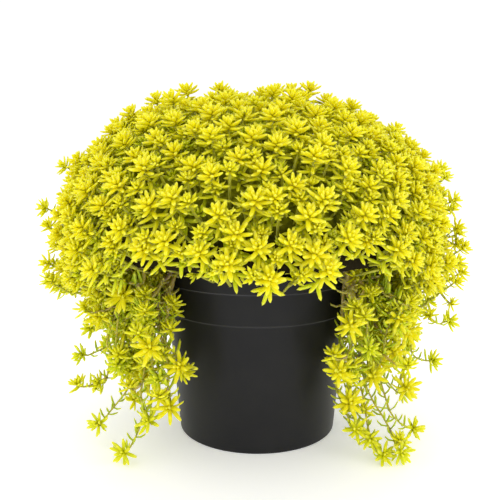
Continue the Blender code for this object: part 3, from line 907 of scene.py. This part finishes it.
root_circle = 0.0722
crossing_radius = 0.0895
rim_clearance = 0.0012
wall_clearance = 0.0007
stem_clearance = 0.0015
leaf_gap = 0.0027
old_leaf_gap = 0.006
stem_radius = 0.0011
bare_stem_radius = 0.0016
tip_radius = 0.0007
front_bare = 0.034
side_bare = 0.012
front_spread = (48, 58)
front_from = 40
near_from = 20
most_aside = 38
low_tip = 0.030
large_above = 0.040
large_lengths = (0.0136, 0.0148)
large_age = 0.08
tip_lengths = (0.0108, 0.0122)
tip_age = 0.34
smaller_lengths = (0.0100, 0.0118)
smaller_age = 0.42
smaller_reach = (0.097, 0.130)
smaller_height = (0.060, 0.124)
twig_lengths = (0.0095, 0.0115)
twig_age = 0.22
front_twigs = (0.008, 0.013)
side_twigs = (0.014, 0.026)
old_lengths = (0.009, 0.013)
old_half_width = 0.0013
old_age = 0.7

# Each spray crosses the rim midway between two directions, in degrees from straight left or
# right towards the front. Its measured tips follow, as (direction, distance out, height).
sprays = {
    "left_back": ((-24, 2), (
        (-14, 0.146, 0.060), (-5, 0.149, 0.098), (0, 0.172, 0.122), (-8, 0.130, 0.110),
    )),
    "left_side": ((2, 18), (
        (4, 0.154, 0.064), (8, 0.144, 0.090), (13, 0.133, 0.104), (16, 0.142, 0.130), (16, 0.1375, 0.048),
    )),
    "left_near": ((18, 42), (
        (31, 0.112, 0.075), (29, 0.104, 0.060), (23, 0.140, 0.020), (38.6, 0.112, 0.065),
        (33, 0.126, 0.126), (26, 0.138, 0.110), (39.7, 0.134, 0.010), (25, 0.141, 0.134),
        (30, 0.122, 0.098),
    )),
    "left_front": ((30, 46), (
        (56, 0.106, 0.078), (53.3, 0.112, 0.047), (51.6, 0.1276, 0.0962), (38, 0.129, 0.131),
        (46, 0.120, 0.036),
    )),
    "right_back": ((-24, 1), (
        (-14, 0.146, 0.058), (-8, 0.158, 0.105), (-4, 0.140, 0.110), (0, 0.170, 0.092),
    )),
    "right_side": ((1, 17), (
        (4, 0.154, 0.059), (12, 0.128, 0.036), (14, 0.132, 0.088), (16, 0.148, 0.136), (11, 0.134, 0.106),
    )),
    "right_near": ((17, 42), (
        (22, 0.108, 0.068), (23, 0.130, 0.095), (23, 0.131, 0.049), (22.4, 0.138, 0.015),
        (38, 0.139, 0.010), (33, 0.129, 0.111), (36, 0.112, 0.064), (28, 0.122, 0.080),
        (41, 0.128, 0.008),
    )),
    "right_front": ((30, 46), (
        (56.2, 0.108, 0.075), (56.3, 0.1202, 0.1131), (45.5, 0.109, 0.025), (42.5, 0.118, 0.018),
        (47, 0.104, 0.046),
    )),
}
smaller_shoots = {"left_back": 3, "left_side": 7, "left_near": 11, "left_front": 2,
                  "right_back": 3, "right_side": 5, "right_near": 10, "right_front": 2}
wall_heights = (0, step_height, step_height + ledge, collar_bottom, collar_bottom + ledge, pot_height)
wall_radii = (foot_radius, below_step, above_step, collar_radius, rim_radius, rim_radius)


def round_pot(side, degrees, reach, height):
    """A point by its direction from straight left or right towards the front."""
    turn = math.radians(degrees)
    return Vector((side * reach * math.cos(turn), -reach * math.sin(turn), height))


def clear_of_pot(point, margin):
    """The point moved out past the rim's radius and above the floor."""
    reach = math.hypot(point.x, point.y)
    least = rim_radius + rim_clearance + margin
    scale = max(1.0, least / reach)
    return Vector((point.x * scale, point.y * scale, max(point.z, 0.0008 + margin)))


def wandering(path, reach, rng):
    """The path with an uneven sway, most in its middle."""
    turns = [rng.uniform(0, math.tau) for _ in range(6)]
    made = []
    for i, point in enumerate(path):
        t = i / (len(path) - 1)
        x, y, z = (math.sin(turns[k] + (5.5 + k) * t) + 0.35 * math.sin(turns[k + 3] + (15 + 2 * k) * t)
                   for k in range(3))
        made.append(point + reach * math.sin(math.pi * t) ** 0.7 * Vector((x, y, 0.5 * z)))
    return made


def off_the_wall(pile):
    """Lays leaves that would go into the pot's wall against it."""
    for points, stem in zip(pile["points"], pile["stem"]):
        if stem[0] < 0.9:
            reach = np.hypot(points[:, 0], points[:, 1])
            least = np.interp(points[:, 2], wall_heights, wall_radii) + wall_clearance
            least = np.where(points[:, 2] < pot_height + 0.001, least, 0)
            points[:, :2] *= np.maximum(1.0, least / reach)[:, None]


def grow_shoot(pile, path, length, age, bare=0.0):
    """A leafy trailing shoot along a path that is kept off the pot and the floor."""
    path = [clear_of_pot(p, stem_clearance) if i > 2 else p for i, p in enumerate(path)]
    travelled = sum((b - a).length for a, b in zip(path, path[1:])) - bare
    count = 14 + round(max(0.0, travelled - 0.005) / leaf_gap)
    leaves = leaf_places(path, count, length, rng.uniform(0, math.tau), rng, age, spacing=0.0015,
                         hooked=True, ageing=0.034, oldest=0.66, opening=8.0)
    add_leaves(pile, leaves[:rosette_leaves], fine_leaf)
    add_leaves(pile, leaves[rosette_leaves:], plain_leaf)
    thick = bare_stem_radius if bare > side_bare else stem_radius
    add_stem(pile, path, thick, tip_radius, 5, 0.95, rng.random(), 0.10)
    old = []
    for i in range(int(bare / old_leaf_gap)):
        place, ahead = walk_back(path, travelled + bare - old_leaf_gap * (i + 1))
        turn = i * golden_angle
        level = Vector((math.cos(turn), math.sin(turn), 0))
        old.append((tuple(place), tuple(up), tuple(level), rng.uniform(*old_lengths), old_half_width,
                    rng.uniform(1.7, 2.3), rng.uniform(0.2, 1.0), old_age, rng.random()))
    add_leaves(pile, old, plain_leaf, 0.7)


def hanging_path(start, side, degrees, reach, height, rng):
    """A shoot's path over the rim and down, which turns out and up again at its tip."""
    tip = round_pot(side, degrees, reach, height)
    outward = round_pot(side, degrees, 1, 0)
    share = 0.35 if degrees > near_from else 1.0
    facing = share * outward + rng.uniform(0.1, 0.5) * up - Vector((0, rng.uniform(0.5, 0.9), 0))
    facing = facing.normalized()
    aside = round_pot(side, min(degrees, most_aside), 1, 0)
    leave = start + rng.uniform(0.012, 0.024) * aside + rng.uniform(-0.012, 0.006) * up
    if degrees > front_from:
        leave = start + 0.012 * aside - 0.010 * up
    neck = tip - 0.008 * facing
    arrive = neck - rng.uniform(0.014, 0.024) * facing
    if degrees > near_from and height < low_tip:
        arrive = neck - 0.030 * outward + 0.014 * up
    elif degrees > near_from:
        arrive = neck + rng.uniform(0.016, 0.026) * (0.6 * aside + up)
    sway = 0.0045 if degrees > front_from else 0.0090
    return wandering(curve_points(start, leave, arrive, neck, 19), sway, rng) + [tip - 0.004 * facing, tip]


trailing = leaf_finish("trailing_leaves", (0.62, 0.45, 0.20, 1))
for name, (limits, shoots) in sprays.items():
    side = -1 if name.startswith("left") else 1
    in_front = name.endswith("front")
    root_at = sum(limits) / 2
    pile = new_pile()
    rise = curve_points(
        round_pot(side, root_at, root_circle, soil_top - 0.010),
        round_pot(side, root_at, root_circle, pot_height - 0.005),
        round_pot(side, root_at, root_circle + 0.0045, pot_height + 0.0032),
        round_pot(side, root_at, crossing_radius, pot_height + 0.0042),
        8,
    )
    add_stem(pile, rise, 0.0013, 0.0012, 8, 1.0, 0.5)
    low_at, high_at = front_spread if in_front else limits
    smaller = []
    for i in range(smaller_shoots[name]):
        degrees = rng.uniform(low_at - 3, high_at - 5)
        smaller.append((degrees, rng.uniform(*smaller_reach), rng.uniform(*smaller_height)))
    bare = front_bare if in_front else side_bare
    for number, (degrees, reach, height) in enumerate(list(shoots) + smaller):
        start = rise[5] + rng.uniform(0, 1) * (rise[7] - rise[5])
        path = hanging_path(start, side, degrees, reach, height, rng)
        if number >= len(shoots):
            grow_shoot(pile, path, rng.uniform(*smaller_lengths), smaller_age, bare)
        elif degrees > near_from and height > large_above:
            grow_shoot(pile, path, rng.uniform(*large_lengths), large_age, bare)
        else:
            grow_shoot(pile, path, rng.uniform(*tip_lengths), tip_age, bare)
        outward = round_pot(side, degrees, 1, 0)
        for branch in range(rng.randint(1, 2)):
            fork = path[rng.randint(11 if in_front else 6, 15)]
            turn = rng.uniform(0, math.tau)
            aside = Vector((math.cos(turn), math.sin(turn), rng.uniform(-0.5, 0.5)))
            aside = (aside + 0.5 * outward).normalized()
            long = rng.uniform(*(front_twigs if in_front else side_twigs))
            end = fork + long * aside
            twig = curve_points(fork, fork + 0.5 * long * aside - 0.006 * up, end - 0.007 * up, end, 8)
            grow_shoot(pile, twig, rng.uniform(*twig_lengths), twig_age)
    off_the_wall(pile)
    piece = piece_from(pile, "spray_" + name, trailing)
    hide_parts("trail_" + name)


# The loose sprigs at the dome's sides
# Low on the left and right, thin shoots have grown out past the dome. They stand out with
# short leaves along their stems and light between them, and a few stand out at the back.

sprig_root = 0.80
sprig_lengths = (0.0088, 0.0104)
sprig_ages = (0.06, 0.24)
sprig_sway = 0.0025
sprig_twigs = (0.012, 0.018)
sprig_twig_lengths = (0.0075, 0.0092)
sprig_twig_age = 0.24
sprig_tips = [
    (-0.159, -0.020, 0.226), (-0.177, -0.020, 0.192), (-0.176, -0.012, 0.177), (-0.169, -0.015, 0.160),
    (-0.176, -0.020, 0.146), (-0.174, -0.010, 0.128), (-0.168, 0.010, 0.200), (-0.168, 0.030, 0.150),
    (-0.164, -0.045, 0.136), (-0.160, -0.050, 0.170), (-0.158, 0.060, 0.180),
    (0.151, -0.020, 0.224), (0.163, -0.020, 0.198), (0.167, -0.020, 0.176), (0.172, -0.020, 0.160),
    (0.172, -0.020, 0.138), (0.164, -0.030, 0.133), (0.163, 0.015, 0.188), (0.160, 0.050, 0.150),
    (0.158, -0.050, 0.152), (0.150, 0.075, 0.178),
    (-0.105, 0.133, 0.195), (-0.050, 0.164, 0.172), (0.000, 0.166, 0.200), (0.062, 0.158, 0.168),
    (0.115, 0.124, 0.190),
]
sprigs = new_pile()
for tip in sprig_tips:
    tip = Vector(tip)
    outward = Vector((tip.x, tip.y, 0)).normalized()
    facing = (outward + rng.uniform(0.3, 1.1) * up + Vector((0, rng.uniform(-0.5, 0.1), 0))).normalized()
    start = Vector((
        sprig_root * tip.x,
        sprig_root * tip.y + rng.uniform(-0.012, 0.012),
        tip.z - rng.uniform(0.006, 0.024),
    ))
    path = curve_points(start, start + 0.014 * outward, tip - 0.014 * facing, tip, 12)
    path = wandering(path, sprig_sway, rng)
    grow_shoot(sprigs, path, rng.uniform(*sprig_lengths), rng.uniform(*sprig_ages))
    for branch in range(rng.randint(0, 2)):
        fork = path[rng.randint(5, 8)]
        aside = Vector([rng.uniform(-1, 1) for _ in range(3)]) + 0.8 * outward
        end = fork + rng.uniform(*sprig_twigs) * aside.normalized()
        twig = curve_points(fork, fork.lerp(end, 0.4) - 0.003 * up, end - 0.004 * up, end, 6)
        grow_shoot(sprigs, twig, rng.uniform(*sprig_twig_lengths), sprig_twig_age)
sprig_piece = piece_from(sprigs, "dome_sprigs", foliage)
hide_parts("sedum_bush")
